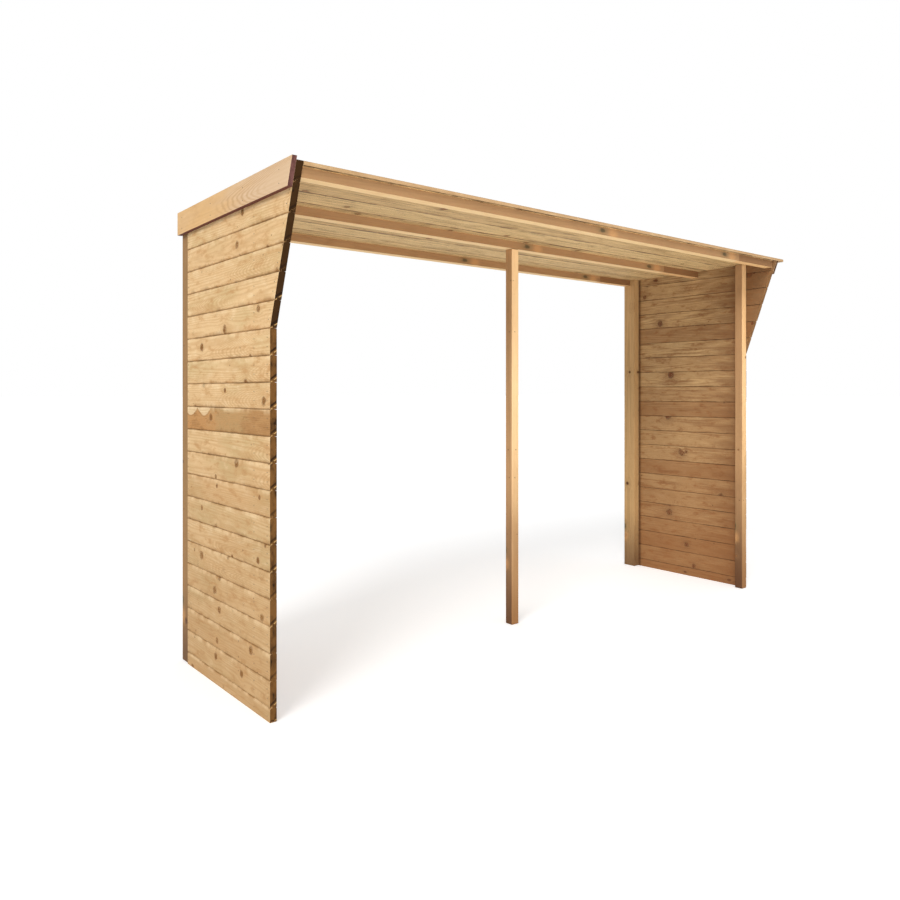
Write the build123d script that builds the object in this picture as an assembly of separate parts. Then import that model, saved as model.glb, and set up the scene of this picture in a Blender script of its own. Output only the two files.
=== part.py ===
from build123d import *

import os
from dataclasses import dataclass
from math import atan, cos, sin, tan

# Log store: an open-fronted, open-backed timber shelter for split firewood.
# Two side walls of tongue-and-groove boards, with front edges that lean forward
# above a kink, carry a shallow lean-to roof on three purlins and five posts.
#
# While the pieces are built, X runs along the length of the store with zero at
# mid-length, Y = 0 is the front edge of the walls at the ground, +Y is the rear
# and Z = 0 is the ground. Sizes are in millimetres.

# ---- Overall sizes ----
CLEAR_LENGTH = 2580.0      # between the inner faces of the side walls
BASE_DEPTH = 720.0         # front edge of the walls to the rear faces of the rear posts
ROOF_TOP = 1640.0          # top of the roof boards at the front edge of the roof
ROOF_FALL = 8.0            # how much lower the roof is at the rear posts
KINK_HEIGHT = 1176.0       # where the front edges of the walls start to lean forward
FRONT_LEAN = 165.0         # how far they lean forward by the top of the roof

# ---- Boards ----
WALL_BOARD = 22.0          # thickness of a wall board
WALL_COVER = 81.0          # height that one course covers
FIRST_COURSE = 42.0        # the lowest course is ripped to about half a board
ROOF_BOARD = 12.0          # thickness of a roof board
ROOF_BOARD_COUNT = 7
BARGE_BOARD = 16.0         # thickness of the boards that trim the roof's ends
BARGE_BELOW_ROOF = 60.0    # how far they hang below the underside of the roof
BARGE_ABOVE_ROOF = 10.0    # how far the left one stands above the roof boards
JOINT_GAP = 1.0            # open joint between the shoulders of neighbouring boards

# ---- Posts and purlins ----
POST = 40.0                # square section of the plain posts
REAR_POST_DEPTH = 70.0     # the rear posts are deeper, and rebated for the boards
REBATE_LENGTH = 12.0       # how much of a rear post the ends of the boards cover
REAR_POST_REVEAL = 3.0     # the outer face of a rear post lies inside the wall face
PURLIN_HEIGHT = 32.0       # the purlins lie flat against the roof boards
PURLIN_WIDTH = 40.0
FRONT_PURLIN_INSET = 15.0  # front edge of the roof to the front purlin
LEFT_FRONT_POST_SETBACK = 90.0
RIGHT_FRONT_POST_SETBACK = -13.0  # it stands in front of the ends of the boards
MIDDLE_POST_SHIFT = -50.0  # from mid-length, towards the left

# ---- Roof overhangs ----
ROOF_REAR_OVERHANG = 0.0   # the roof ends flush with the rear posts
ROOF_RIGHT_OVERHANG = 40.0  # past the right barge board
END_CLEARANCE = 1.0        # between board ends and what they butt against
LEFT_WALL_BELOW_TOP = 0.0  # the roof boards butt against the left wall,
RIGHT_WALL_BELOW_TOP = ROOF_BOARD  # and lie on top of the right one

# ---- Places that follow from the sizes ----
WALL_INSIDE = CLEAR_LENGTH / 2
WALL_OUTSIDE = WALL_INSIDE + WALL_BOARD
BARGE_OUTSIDE = WALL_OUTSIDE + BARGE_BOARD
REAR_POST_FRONT = BASE_DEPTH - REAR_POST_DEPTH
WALL_REAR = REAR_POST_FRONT + REBATE_LENGTH - END_CLEARANCE
ROOF_REAR = BASE_DEPTH + ROOF_REAR_OVERHANG
ROOF_SLOPE = ROOF_FALL / (FRONT_LEAN + BASE_DEPTH)
ROOF_ANGLE = atan(ROOF_SLOPE)
LEAN = FRONT_LEAN / (ROOF_TOP - KINK_HEIGHT)
ROOF_DEPTH = (ROOF_REAR + FRONT_LEAN) / cos(ROOF_ANGLE)
UNDER_PURLINS = ROOF_BOARD + PURLIN_HEIGHT

# Side view: local x is Y, local y is Z, and a shape grows along +X.
SIDE = Plane(origin=(0, 0, 0), x_dir=(0, 1, 0), z_dir=(1, 0, 0))

# The same view turned to the slope, with local x running down the roof.
SLOPE = Plane(
    origin=(0, -FRONT_LEAN, ROOF_TOP),
    x_dir=(0, cos(ROOF_ANGLE), -sin(ROOF_ANGLE)),
    z_dir=(1, 0, 0),
)

# Section of the left wall: local x runs outwards from its inner face, local y up.
WALL_SECTION = Plane(origin=(-WALL_INSIDE, 0, 0), x_dir=(-1, 0, 0), z_dir=(0, 1, 0))

# Section of the roof: local x runs down through its thickness, local y to the rear.
ROOF_SECTION = Plane(
    origin=SLOPE.origin,
    x_dir=(0, -sin(ROOF_ANGLE), -cos(ROOF_ANGLE)),
    z_dir=(1, 0, 0),
)


@dataclass(frozen=True)
class BoardProfile:
    """A tongue-and-groove section: the tongue points to the next board."""

    thickness: float
    tongue_thickness: float
    tongue_length: float
    face_chamfer: float
    back_chamfer: float = 1.0
    side_fit: float = 0.4      # clearance on each side of the tongue
    end_fit: float = 0.5       # more clearance at its tip, besides the open joint

    def outline(self, cover, grooved=True, tongued=True):
        """Corners of the section, from the back face (0) to the show face."""
        start = JOINT_GAP if grooved else 0.0
        return self._first_edge(start, grooved) + self._second_edge(cover, tongued)

    def _first_edge(self, start, grooved):
        if not grooved:
            return [(0, start), (self.thickness, start)]
        half = self.tongue_thickness / 2 + self.side_fit
        middle = self.thickness / 2
        bottom = start + self.tongue_length - JOINT_GAP + self.end_fit
        return [
            (0, start + self.back_chamfer),
            (self.back_chamfer, start),
            (middle - half, start),
            (middle - half, bottom),
            (middle + half, bottom),
            (middle + half, start),
            (self.thickness - self.face_chamfer, start),
            (self.thickness, start + self.face_chamfer),
        ]

    def _second_edge(self, cover, tongued):
        if not tongued:
            return [(self.thickness, cover), (0, cover)]
        half = self.tongue_thickness / 2
        middle = self.thickness / 2
        tip = cover + self.tongue_length
        return [
            (self.thickness, cover - self.face_chamfer),
            (self.thickness - self.face_chamfer, cover),
            (middle + half, cover),
            (middle + half, tip),
            (middle - half, tip),
            (middle - half, cover),
            (self.back_chamfer, cover),
            (0, cover - self.back_chamfer),
        ]


WALL_PROFILE = BoardProfile(WALL_BOARD, tongue_thickness=7.0, tongue_length=8.0, face_chamfer=3.0)
ROOF_PROFILE = BoardProfile(ROOF_BOARD, tongue_thickness=4.0, tongue_length=6.0, face_chamfer=2.5)


def roof_height(y, below_top):
    """Height at depth y of a plane parallel to the roof, that far below its top."""
    return ROOF_TOP - below_top / cos(ROOF_ANGLE) - ROOF_SLOPE * (y + FRONT_LEAN)


def lean_corner(below_top):
    """Where the leaning front line meets that plane, as (y, z)."""
    level = ROOF_TOP - below_top / cos(ROOF_ANGLE) - ROOF_SLOPE * FRONT_LEAN
    z = (level - ROOF_SLOPE * LEAN * KINK_HEIGHT) / (1 - ROOF_SLOPE * LEAN)
    return -LEAN * (z - KINK_HEIGHT), z


def prism(plane, corners, x_from, x_to):
    """Solid of that outline in a side view, between two places along X."""
    outline = plane * Polygon(*corners, align=None)
    return Pos(x_from, 0, 0) * extrude(outline, amount=x_to - x_from)


def upright(y_front, depth, below_top, x_from, x_to):
    """A post whose top is cut to the slope of the roof."""
    y_rear = y_front + depth
    corners = [
        (y_front, 0),
        (y_rear, 0),
        (y_rear, roof_height(y_rear, below_top)),
        (y_front, roof_height(y_front, below_top)),
    ]
    return prism(SIDE, corners, x_from, x_to)


def wall_outline(below_top):
    """Side view of a wall, with the kinked front edge and the sloping top."""
    return [
        (0, 0),
        (WALL_REAR, 0),
        (WALL_REAR, roof_height(WALL_REAR, below_top)),
        lean_corner(below_top),
        (0, KINK_HEIGHT),
    ]


def wall_board(bottom, cover, first):
    """One full-length course of the left wall, before it is trimmed."""
    section = Polygon(*WALL_PROFILE.outline(cover, grooved=not first), align=None)
    blank = extrude(WALL_SECTION * section, amount=FRONT_LEAN + WALL_REAR)
    return Pos(0, -FRONT_LEAN, bottom) * blank


def wall_boards(below_top):
    """The left wall's boards up to that plane, course by course, split at the kink."""
    wall = prism(SIDE, wall_outline(below_top), -WALL_OUTSIDE, -WALL_INSIDE)
    wall_top = lean_corner(below_top)[1]
    lower, leaning = [], []
    bottom, cover = 0.0, FIRST_COURSE
    while bottom < wall_top - JOINT_GAP:
        board = wall_board(bottom, cover, first=bottom == 0.0) & wall
        group = lower if bottom < KINK_HEIGHT else leaning
        group.extend(board.solids())
        bottom += cover
        cover = WALL_COVER
    return lower, leaning


def rear_post(below_top):
    """Left rear post: the outer part is as high as the wall, and rebated for its boards."""
    outer = -WALL_OUTSIDE + REAR_POST_REVEAL
    inside = upright(REAR_POST_FRONT, REAR_POST_DEPTH, ROOF_BOARD, -WALL_INSIDE, -WALL_INSIDE + POST)
    rebated_front = REAR_POST_FRONT + REBATE_LENGTH
    rebated_depth = REAR_POST_DEPTH - REBATE_LENGTH
    return inside + upright(rebated_front, rebated_depth, below_top, outer, -WALL_INSIDE)


def front_post(setback):
    """Post against the inner face of the left wall."""
    return upright(setback, POST, ROOF_BOARD, -WALL_INSIDE, -WALL_INSIDE + POST)


def purlin_places():
    """Distance of each purlin's front face down the slope from the roof's front edge."""
    rear = (BASE_DEPTH - PURLIN_WIDTH + FRONT_LEAN) / cos(ROOF_ANGLE)
    middle = (FRONT_PURLIN_INSET + rear) / 2
    return FRONT_PURLIN_INSET, middle, rear


def purlin(place, half_length):
    """Bar along the store, against the underside of the roof boards."""
    corners = [
        (place, -UNDER_PURLINS),
        (place + PURLIN_WIDTH, -UNDER_PURLINS),
        (place + PURLIN_WIDTH, -ROOF_BOARD),
        (place, -ROOF_BOARD),
    ]
    return prism(SLOPE, corners, -half_length, half_length)


def middle_post():
    """Post under the middle purlin."""
    place = purlin_places()[1]
    y_front = place * cos(ROOF_ANGLE) - UNDER_PURLINS * sin(ROOF_ANGLE) - FRONT_LEAN
    x_from = MIDDLE_POST_SHIFT - POST / 2
    return upright(y_front, POST, UNDER_PURLINS, x_from, x_from + POST)


def roof_boards():
    """Boards along the store, from the front edge of the roof to the rear."""
    cover = ROOF_DEPTH / ROOF_BOARD_COUNT
    x_from = -WALL_INSIDE + END_CLEARANCE
    x_to = BARGE_OUTSIDE + ROOF_RIGHT_OVERHANG
    boards = []
    for course in range(ROOF_BOARD_COUNT):
        corners = ROOF_PROFILE.outline(
            cover, grooved=course > 0, tongued=course < ROOF_BOARD_COUNT - 1
        )
        edge = ROOF_SECTION.from_local_coords((0, course * cover, 0))
        section = Plane(origin=edge, x_dir=ROOF_SECTION.x_dir, z_dir=ROOF_SECTION.z_dir)
        boards.append(prism(section, corners, x_from, x_to))
    return boards


def barge_board(above_roof_underside):
    """Board on the outer face of the left wall, cut in line with its leaning edge."""
    top = ROOF_BOARD - above_roof_underside
    bottom = ROOF_BOARD + BARGE_BELOW_ROOF
    corners = [
        lean_corner(bottom),
        (ROOF_REAR, roof_height(ROOF_REAR, bottom)),
        (ROOF_REAR, roof_height(ROOF_REAR, top)),
        lean_corner(top),
    ]
    return prism(SIDE, corners, -BARGE_OUTSIDE, -WALL_OUTSIDE)


def to_right(shapes):
    """The same pieces for the right end of the store."""
    return [mirror(shape, about=Plane.YZ) for shape in shapes]


def build_pieces():
    """Every named piece, as a list of solids."""
    left_lower, left_leaning = wall_boards(LEFT_WALL_BELOW_TOP)
    right_lower, right_leaning = wall_boards(RIGHT_WALL_BELOW_TOP)
    front_place, middle_place, rear_place = purlin_places()
    pieces = {
        "left_wall_lower_boards": left_lower,
        "left_wall_leaning_boards": left_leaning,
        "right_wall_lower_boards": to_right(right_lower),
        "right_wall_leaning_boards": to_right(right_leaning),
        "left_front_post": [front_post(LEFT_FRONT_POST_SETBACK)],
        "right_front_post": to_right([front_post(RIGHT_FRONT_POST_SETBACK)]),
        "left_rear_post": [rear_post(LEFT_WALL_BELOW_TOP)],
        "right_rear_post": to_right([rear_post(RIGHT_WALL_BELOW_TOP)]),
        "middle_post": [middle_post()],
        "front_purlin": [purlin(front_place, WALL_INSIDE)],
        "middle_purlin": [purlin(middle_place, WALL_INSIDE)],
        "rear_purlin": [purlin(rear_place, WALL_INSIDE - POST)],
        "left_barge_board": [barge_board(ROOF_BOARD + BARGE_ABOVE_ROOF)],
        "right_barge_board": to_right([barge_board(0.0)]),
    }
    for number, board in enumerate(roof_boards(), start=1):
        pieces[f"roof_board_{number}"] = [board]
    return pieces


def origin_shift(pieces):
    """Move that puts the origin at the bottom centre of the whole store."""
    everything = Compound([solid for solids in pieces.values() for solid in solids])
    box = everything.bounding_box()
    return Pos(-(box.min.X + box.max.X) / 2, -(box.min.Y + box.max.Y) / 2, -box.min.Z)


def main():
    pieces = build_pieces()
    shift = origin_shift(pieces)
    os.makedirs("parts", exist_ok=True)
    for name, solids in pieces.items():
        export_step(shift * Compound([s for shape in solids for s in shape.solids()]),
                    f"parts/{name}.step")


main()
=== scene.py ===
"""Log store: boarded walls, roof boards, purlins, posts and nails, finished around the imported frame.

Lengths are in metres, in the frame's own axes: X runs along the store, +Y is the rear and the
ground is at Z = 0. Colours are as a screen shows them, from 0 to 255.
"""

import logging
import math
from collections.abc import Iterator
from dataclasses import dataclass
from enum import Enum

import bmesh
import bpy
from mathutils import Matrix, Vector, noise


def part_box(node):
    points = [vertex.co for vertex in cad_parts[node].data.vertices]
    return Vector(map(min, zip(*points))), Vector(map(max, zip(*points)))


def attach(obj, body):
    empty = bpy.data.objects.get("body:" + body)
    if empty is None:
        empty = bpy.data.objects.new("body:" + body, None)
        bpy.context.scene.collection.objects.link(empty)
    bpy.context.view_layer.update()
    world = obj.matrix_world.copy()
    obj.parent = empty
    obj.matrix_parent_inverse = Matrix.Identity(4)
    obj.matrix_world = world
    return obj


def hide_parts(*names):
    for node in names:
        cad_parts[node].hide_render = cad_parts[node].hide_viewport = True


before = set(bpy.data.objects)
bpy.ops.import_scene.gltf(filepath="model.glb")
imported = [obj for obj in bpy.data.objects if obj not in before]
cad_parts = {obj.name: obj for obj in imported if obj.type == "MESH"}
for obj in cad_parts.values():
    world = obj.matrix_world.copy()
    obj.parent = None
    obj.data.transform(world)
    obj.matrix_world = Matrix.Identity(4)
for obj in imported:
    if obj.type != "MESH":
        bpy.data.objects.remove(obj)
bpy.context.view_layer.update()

BODY = "root"
LOG = logging.getLogger("log_store")

WALL_COVER = 0.081
FIRST_COURSE = 0.042
LOWER_COURSES = 15
KINK_HEIGHT = FIRST_COURSE + WALL_COVER * (LOWER_COURSES - 1)
ROOF_COVER = 0.1264
ROOF_BOARDS = 7
PURLINS = ("front", "middle", "rear")
MERGE = 0.00001
WHITE = (1.0, 1.0, 1.0, 1.0)

Colour = tuple[int, int, int]
Triple = tuple[float, float, float]
Span = tuple[float, float]
Spots = Iterator[tuple[Vector, Vector]]
Value = "Term | float | bool | str | tuple[float, ...] | bpy.types.Material"


class Side(Enum):
    """The two ends of the store, by the sign of X that points outwards."""

    LEFT = -1
    RIGHT = 1

    @property
    def word(self) -> str:
        """The side's name as the frame's nodes spell it."""
        return self.name.lower()

    @property
    def outwards(self) -> Vector:
        """The direction that leads out of the store."""
        return Vector((float(self.value), 0.0, 0.0))


class Grain(Enum):
    """The axes that run along, across and into a piece of timber."""

    ALONG_X = (0, 1, 2)
    ALONG_X_ON_EDGE = (0, 2, 1)
    ALONG_Y = (1, 2, 0)
    ALONG_Z = (2, 0, 1)

    @property
    def faces(self) -> tuple[int, int, int]:
        """The axes across, into and along, in the order of a piece's finishes."""
        along, across, into = self.value
        return across, into, along


class BoardFace(Enum):
    """What a face of a wall board is, as its kind attribute counts it."""

    SHOW = 0
    BACK = 1
    END = 2


# ---------------------------------------------------------------- small helpers


def linear(colour: Colour) -> tuple[float, float, float, float]:
    """Turn a display colour into a scene colour.

    Args:
        colour: Red, green and blue from 0 to 255.

    Returns:
        Linear red, green and blue, and an alpha of 1.
    """
    parts = [part / 255 for part in colour]
    made = [p / 12.92 if p <= 0.04045 else ((p + 0.055) / 1.055) ** 2.4 for p in parts]
    return made[0], made[1], made[2], 1.0


def field(label: str) -> str:
    """The field that gives the input with this label its value."""
    return label.lower().replace(" ", "_")


def roof_slope() -> float:
    """How far the roof falls for each metre towards the rear."""
    front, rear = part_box("front_purlin"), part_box("rear_purlin")
    return (front[1].z - rear[1].z) / (rear[0].y - front[0].y)


def new_material(name: str) -> bpy.types.Material:
    """Make a material with the usual shader.

    Args:
        name: Name of the material.

    Returns:
        The material, ready for its nodes.
    """
    material = bpy.data.materials.new(name)
    material.use_nodes = True
    return material


def keep_mesh(name: str, made: bmesh.types.BMesh) -> bpy.types.Mesh:
    """Turn mesh code's result into a mesh.

    Args:
        name: Name of the mesh.
        made: The result, which is freed.

    Returns:
        The mesh.
    """
    mesh = bpy.data.meshes.new(name)
    made.to_mesh(mesh)
    made.free()
    return mesh


def mark_points(mesh: bpy.types.Mesh, name: str, kind: str, values: list[float]) -> None:
    """Write an attribute on a mesh's points.

    Args:
        mesh: The mesh.
        name: Name of the attribute.
        kind: FLOAT or FLOAT_VECTOR.
        values: The numbers of all points in a row.
    """
    field = "vector" if kind == "FLOAT_VECTOR" else "value"
    mesh.attributes.new(name, kind, "POINT").data.foreach_set(field, values)


def link(name: str, data: bpy.types.ID) -> bpy.types.Object:
    """Put a mesh, lamp or camera in the scene under a name.

    Args:
        name: Name of the object.
        data: What the object holds.

    Returns:
        The object.
    """
    made = bpy.data.objects.new(name, data)
    bpy.context.scene.collection.objects.link(made)
    return made


def hang(piece: bpy.types.Object, slot: str | None, *nodes: str) -> None:
    """Hang a finished piece on the frame, and report it.

    Args:
        piece: The finished mesh object.
        slot: Not used.
        nodes: The CAD nodes that the piece stands for.
    """
    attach(piece, BODY)
    if nodes:
        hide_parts(*nodes)
    LOG.info("%s: %d faces", piece.name, len(piece.data.polygons))


def run_tree(name: str, mesh: bpy.types.Mesh, tree: bpy.types.NodeTree,
             values: dict[str, Value]) -> bpy.types.Object:
    """Run a Geometry Nodes tree on a mesh, and keep the result as a plain mesh.

    Args:
        name: Name of the piece to make.
        mesh: The mesh that the tree starts from.
        tree: The tree itself.
        values: Values by field. The tree takes those that its inputs are named after.

    Returns:
        An object that holds the plain mesh and no modifier.
    """
    piece = link(name, mesh)
    modifier = piece.modifiers.new("make", "NODES")
    modifier.node_group = tree
    for item in tree.interface.items_tree:
        if item.item_type == "SOCKET" and item.in_out == "INPUT" and field(item.name) in values:
            modifier[item.identifier] = values[field(item.name)]
    evaluated = piece.evaluated_get(bpy.context.evaluated_depsgraph_get())
    made = bpy.data.meshes.new_from_object(evaluated)
    made.name = name
    piece.modifiers.remove(modifier)
    piece.data = made
    return piece


# ---------------------------------------------------------------- node trees


class Term:
    """One output of a node, on which arithmetic adds more nodes to the same tree."""

    def __init__(self, sheet: "NodeSheet", socket: bpy.types.NodeSocket) -> None:
        """Keep the socket and the sheet that it belongs to."""
        self.sheet = sheet
        self.socket = socket

    def __add__(self, other: Value) -> "Term":
        """The sum."""
        return self.math("ADD", other)

    def __sub__(self, other: Value) -> "Term":
        """The difference."""
        return self.math("SUBTRACT", other)

    def __mul__(self, other: Value) -> "Term":
        """The product."""
        return self.math("MULTIPLY", other)

    def __truediv__(self, other: Value) -> "Term":
        """The quotient."""
        return self.math("DIVIDE", other)

    def __abs__(self) -> "Term":
        """The value without its sign."""
        return self.math("ABSOLUTE")

    def math(self, operation: str, *others: Value) -> "Term":
        """One step of arithmetic, on vectors where this term or another value is one.

        Args:
            operation: The step, as the Math and Vector Math nodes name it.
            others: The values that it takes besides this term.

        Returns:
            The result.
        """
        of_vectors = self.is_vector or any(
            isinstance(other, tuple) or isinstance(other, Term) and other.is_vector for other in others)
        kind = "ShaderNodeVectorMath" if of_vectors else "ShaderNodeMath"
        output = "Vector" if of_vectors and operation != "LENGTH" else "Value"
        return self.sheet.term(kind, dict(enumerate((self, *others))), output, operation=operation)

    @property
    def is_vector(self) -> bool:
        """Whether the term holds three numbers."""
        return self.socket.type in ("VECTOR", "RGBA")

    def parts(self) -> list["Term"]:
        """The three parts of a vector."""
        return list(self.sheet.terms("ShaderNodeSeparateXYZ", {0: self}).values())

    def ease(self, low: Value, high: Value, start: Value = 0.0, end: Value = 1.0) -> "Term":
        """A smooth step from start to end as the term goes from low to high."""
        return self.sheet.term("ShaderNodeMapRange", {0: self, 1: low, 2: high, 3: start, 4: end},
                               interpolation_type="SMOOTHSTEP")

    def noise(self, scale: Value, detail: float = 2.0, roughness: float = 0.5) -> "Term":
        """Smooth noise from 0 to 1, at so many waves a metre along each axis."""
        return self.sheet.term("ShaderNodeTexNoise", {
            "Vector": self * scale, "Scale": 1.0, "Detail": detail, "Roughness": roughness})

    def lines(self, sharpness: float) -> "Term":
        """A soft line at each whole number, and narrower lines with more sharpness."""
        return ((self * math.tau).math("SINE") * 0.5 + 0.5).math("POWER", sharpness)


class NodeSheet:
    """Adds nodes to a shader or geometry tree, and joins them by value or by link."""

    def __init__(self, tree: bpy.types.NodeTree) -> None:
        """Start on a tree, which may already hold nodes."""
        self.tree = tree

    def declare(self, kind: str, *labels: str, way: str = "INPUT") -> None:
        """Give the tree inputs or outputs of its own.

        Args:
            kind: Their kind, such as Float.
            labels: Their names.
            way: INPUT or OUTPUT.
        """
        for label in labels:
            self.tree.interface.new_socket(label, in_out=way, socket_type=f"NodeSocket{kind}")

    def fill(self, node: bpy.types.Node, inputs: dict[str | int, Value]) -> None:
        """Link a node's inputs to terms, or set their own values.

        Args:
            node: The node.
            inputs: Terms or values by input name or place.
        """
        for key, value in inputs.items():
            if isinstance(value, Term):
                self.tree.links.new(value.socket, node.inputs[key])
            else:
                node.inputs[key].default_value = value

    def add(self, kind: str, inputs: dict[str | int, Value] | None = None,
            **settings: object) -> bpy.types.Node:
        """Add one node.

        Args:
            kind: The node's type name.
            inputs: Terms or values by input name or place.
            settings: The node's own properties.

        Returns:
            The new node.
        """
        node = self.tree.nodes.new(kind)
        for key, value in settings.items():
            setattr(node, key, value)
        self.fill(node, inputs or {})
        return node

    def term(self, kind: str, inputs: dict[str | int, Value] | None = None, output: str | int = 0,
             **settings: object) -> Term:
        """Add one node, and take one of its outputs."""
        return Term(self, self.add(kind, inputs, **settings).outputs[output])

    def terms(self, kind: str, inputs: dict[str | int, Value] | None = None,
              **settings: object) -> dict[str, Term]:
        """Add one node, and take all its outputs by name."""
        outputs = self.add(kind, inputs, **settings).outputs
        return {socket.name: Term(self, socket) for socket in outputs}

    def attribute(self, name: str, output: str = "Fac") -> Term:
        """What the mesh's own attribute says of a place."""
        return self.term("ShaderNodeAttribute", output=output, attribute_name=name)

    def combine(self, x: Value, y: Value = 0.0, z: Value = 0.0) -> Term:
        """A vector from its three parts."""
        return self.term("ShaderNodeCombineXYZ", {0: x, 1: y, 2: z})

    def lot(self, number: Value, output: str) -> Term:
        """A value or a colour drawn by lot for a number."""
        return self.term("ShaderNodeTexWhiteNoise", {"W": number}, output, noise_dimensions="1D")

    def mix(self, factor: Value, first: Value, second: Value) -> Term:
        """A colour between two colours."""
        return self.term("ShaderNodeMix", {0: factor, 6: first, 7: second}, 2, data_type="RGBA")

    def seen(self) -> Term:
        """1 for rays from the camera and from reflections, and 0 for the light's own."""
        path = self.terms("ShaderNodeLightPath")
        return path["Is Camera Ray"].math("MAXIMUM", path["Is Glossy Ray"])


# ---------------------------------------------------------------- finishes


@dataclass(frozen=True)
class Softwood:
    """The solid pattern of sawn softwood: growth rings, knots that they bend round, and fibres.

    The pattern reads attributes of a mesh: grain, a place in metres along, across and into the
    board, and board, a number of the board's own. Each scale is in waves a metre.
    """

    sizes: tuple[str, ...] = ("Ring Pitch", "Ring Wander", "Streak Along", "Streak Across", "Knot Pitch",
                              "Knot Row", "Knot Share", "Knot Radius", "Pin Share")
    lot_step: float = 917.0
    board_shift: Triple = (11.0, 7.0, 5.0)
    fibre_scale: Triple = (14.0, 900.0, 900.0)
    mottle_scale: Triple = (15.0, 38.0, 38.0)
    patch_scale: Triple = (3.2, 9.0, 9.0)
    slow_scale: Triple = (2.2, 12.0, 12.0)
    quick_scale: Triple = (12.0, 90.0, 90.0)
    knot_scale: Triple = (70.0, 90.0, 90.0)
    pin_shift: Triple = (3.7, 1.9, 0.0)
    pin_spacing: Span = (0.12, 0.05)
    pin_radius: float = 0.0028
    ripple: float = 0.0022
    ring_sharpness: float = 2.2

    def build(self) -> bpy.types.NodeTree:
        """Make the node group.

        Returns:
            A shader group that gives the pattern's parts as factors from 0 to 1.
        """
        sheet = NodeSheet(bpy.data.node_groups.new("softwood", "ShaderNodeTree"))
        sheet.declare("Float", *self.sizes)
        given = sheet.terms("NodeGroupInput")
        grain = sheet.attribute("grain", "Vector")
        chance = sheet.lot(sheet.attribute("board") * self.lot_step, "Color")
        place = grain + chance * self.board_shift
        core, rim, halo, beside = self._knots(place, (given["Knot Pitch"], given["Knot Row"]),
                                              given["Knot Share"], given["Knot Radius"])
        pin = self._knots(place + self.pin_shift, self.pin_spacing, given["Pin Share"], self.pin_radius)[0]
        streaks = sheet.combine(given["Streak Along"], given["Streak Across"], given["Streak Across"])
        pattern = {
            "Ring": self._rings(given, grain, place, chance, beside * halo * 0.9),
            "Fibre": place.noise(self.fibre_scale, 3.0, 0.6),
            "Streak": place.noise(streaks, 3.0, 0.65),
            "Mottle": place.noise(self.mottle_scale, 4.0, 0.6),
            "Patch": place.noise(self.patch_scale),
            "Core": core,
            "Rim": rim,
            "Halo": halo,
            "Pin": pin,
        }
        sheet.declare("Float", *pattern, way="OUTPUT")
        sheet.add("NodeGroupOutput", pattern)
        return sheet.tree

    def _knots(self, place: Term, spacing: tuple[Value, Value], share: Value,
               radius: Value) -> tuple[Term, Term, Term, Term]:
        """Scattered knots.

        Args:
            place: Place in the wood.
            spacing: Usual distance between knots along and across the board.
            share: How many of the possible places hold a knot.
            radius: Usual radius of a knot.

        Returns:
            The knot itself, its rim, the halo where the grain bends, and the distance beside
            the knot's centre line.
        """
        sheet = place.sheet
        cell = sheet.combine(*spacing, 1.0)
        scaled = place / cell
        cells = sheet.terms("ShaderNodeTexVoronoi", {"Vector": scaled, "Scale": 1.0, "Randomness": 1.0},
                            voronoi_dimensions="2D", feature="F1")
        along, beside, _ = ((scaled - cells["Position"]) * cell).parts()
        first, second, _ = cells["Color"].parts()
        exists = first.math("LESS_THAN", share)
        size = (second * 0.9 + 0.5) * radius
        ragged = place.noise(self.knot_scale) * 0.9 + 0.55
        near = sheet.combine(along, beside).math("LENGTH") * ragged / size
        core = exists * near.ease(0.7, 1.05, 1.0, 0.0)
        rim = exists * near.ease(0.7, 0.98) * near.ease(1.0, 1.4, 1.0, 0.0)
        halo = exists * (near * near * -0.13).math("EXPONENT")
        return core, rim, halo, beside

    def _rings(self, given: dict[str, Term], grain: Term, place: Term, chance: Term, bend: Term) -> Term:
        """Growth rings round a pith that lies behind the board.

        Args:
            given: The group's inputs.
            grain: Place in the board.
            place: Place in the wood.
            chance: Three numbers of the board's own.
            bend: How far a knot pushes the rings aside.

        Returns:
            A factor that is 1 on the dark side of a ring.
        """
        along, across, into = grain.parts()
        first, second, third = chance.parts()
        wander = (place.noise(self.slow_scale) - 0.5) * given["Ring Wander"]
        ripple = (place.noise(self.quick_scale) - 0.5) * self.ripple
        pith_across = second * 0.1 - 0.05
        pith_into = third * 0.05 + 0.02
        tilt = along * (first * 0.05 - 0.025)
        flat = across - bend + pith_across + wander
        deep = into + pith_into + tilt + wander
        radius = place.sheet.combine(flat, deep).math("LENGTH") + ripple
        return (radius / given["Ring Pitch"]).lines(self.ring_sharpness)


class WoodSheet(NodeSheet):
    """A timber material's tree, with what its mesh says of each place, and the colour so far."""

    def __init__(self, tree: bpy.types.NodeTree, softwood: bpy.types.NodeTree,
                 finish: "TimberFinish") -> None:
        """Read the mesh's attributes and the pattern.

        Args:
            tree: The material's tree.
            softwood: The group that holds the pattern.
            finish: The finish, whose fields of the same names set the group's sizes.
        """
        super().__init__(tree)
        self.grain = self.attribute("grain", "Vector")
        self.along, self.across, self.into = self.grain.parts()
        self.board = self.attribute("board")
        self.tone = self.attribute("tone")
        self.place = self.term("ShaderNodeTexCoord", output="Object")
        sizes = {label: getattr(finish, field(label)) for label in Softwood.sizes}
        self.pattern = self.terms("ShaderNodeGroup", sizes, node_tree=softwood)
        self.colour = linear(finish.pale)

    def lay(self, factor: Value, colour: Colour | Term) -> None:
        """Lay another colour over the colour so far, as much as the factor says."""
        over = colour if isinstance(colour, Term) else linear(colour)
        self.colour = self.mix(factor, self.colour, over)


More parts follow.
